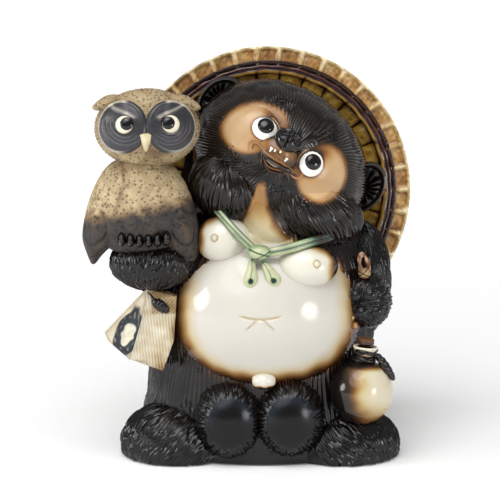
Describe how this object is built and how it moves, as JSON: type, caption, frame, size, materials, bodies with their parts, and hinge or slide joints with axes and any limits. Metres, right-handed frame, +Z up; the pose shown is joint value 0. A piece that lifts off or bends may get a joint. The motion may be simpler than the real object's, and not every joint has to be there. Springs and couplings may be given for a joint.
{
  "type": "tanuki statue",
  "caption": "Glazed stoneware tanuki in a round slatted hat, with an owl on one paw, an account book under it and a bottle in the other hand.",
  "frame": {"origin": "centre of the drain hole, on the face that the figure stands on", "axes": "+Z up, -Y out of the front of the figure, +X to the viewer's right"},
  "size_m": [0.2025, 0.1439, 0.2482],
  "materials": {
    "black_glaze": "thick glossy iron black glaze that breaks to brown on thin ridges",
    "cream_glaze": "glossy cream glaze with a brown sprayed edge",
    "tan_glaze": "satin tan slip under clear glaze, darker towards the edge",
    "amber_glaze": "amber glaze pooled in the slats, worn pale on the ridges",
    "hat_brown_glaze": "dark purple brown glaze",
    "celadon_glaze": "pale green glaze, darker where it pools",
    "white_glaze": "glossy white glaze",
    "pupil_glaze": "glossy black glaze",
    "brown_glaze": "glossy red brown glaze",
    "speckled_clay": "matt speckled tan stoneware, sprayed dark at the foot",
    "grey_slip": "satin dark grey slip with pale worn ridges",
    "beak_glaze": "pale cream glaze",
    "page_glaze": "thin cream glaze, brown in the grooves",
    "raw_clay": "unglazed fired clay"
  },
  "bodies": {
    "root": {"body_shell": "black_glaze", "base_floor": "raw_clay", "belly_dome": "cream_glaze", "chest_left": "cream_glaze", "chest_right": "cream_glaze", "chest_buds": "cream_glaze", "throat_strip": "cream_glaze", "luck_pouch_left": "black_glaze", "luck_pouch_right": "black_glaze", "belly_stub": "cream_glaze", "foot_left": "black_glaze", "foot_right": "black_glaze", "tail": "black_glaze", "perch_arm": "black_glaze", "perch_paw": "black_glaze", "bottle_arm": "black_glaze", "bottle_paw": "black_glaze", "head_shell": "black_glaze", "jowl_left": "black_glaze", "jowl_right": "black_glaze", "face_patch_left": "tan_glaze", "face_patch_right": "tan_glaze", "eyeballs": "white_glaze", "pupils": "pupil_glaze", "nose": "black_glaze", "muzzle": "tan_glaze", "lower_lip": "brown_glaze", "teeth": "white_glaze", "ear_left": "black_glaze", "ear_right": "black_glaze", "hat_shell": "amber_glaze", "hat_rim_slats": "amber_glaze", "hat_ring": "hat_brown_glaze", "hat_inner_slats": "amber_glaze", "cord_left": "celadon_glaze", "cord_right": "celadon_glaze", "bow_knot": "celadon_glaze", "bow_loops": "celadon_glaze", "bottle_shell": "cream_glaze", "bottle_collar": "cream_glaze", "bottle_stopper": "brown_glaze", "bottle_neck_cord": "pupil_glaze", "bottle_cord_tail": "pupil_glaze", "rope_loop": "brown_glaze", "rope_knot": "brown_glaze", "owl_body": "speckled_clay", "owl_head": "speckled_clay", "owl_wing_left": "speckled_clay", "owl_wing_right": "speckled_clay", "owl_discs": "grey_slip", "owl_eyes": "white_glaze", "owl_pupils": "pupil_glaze", "owl_beak": "beak_glaze", "owl_tufts": "speckled_clay", "owl_feet": "pupil_glaze", "book_cover": "page_glaze", "book_pages": "page_glaze", "book_label": "grey_slip", "book_tie": "pupil_glaze"}
  },
  "joints": []
}
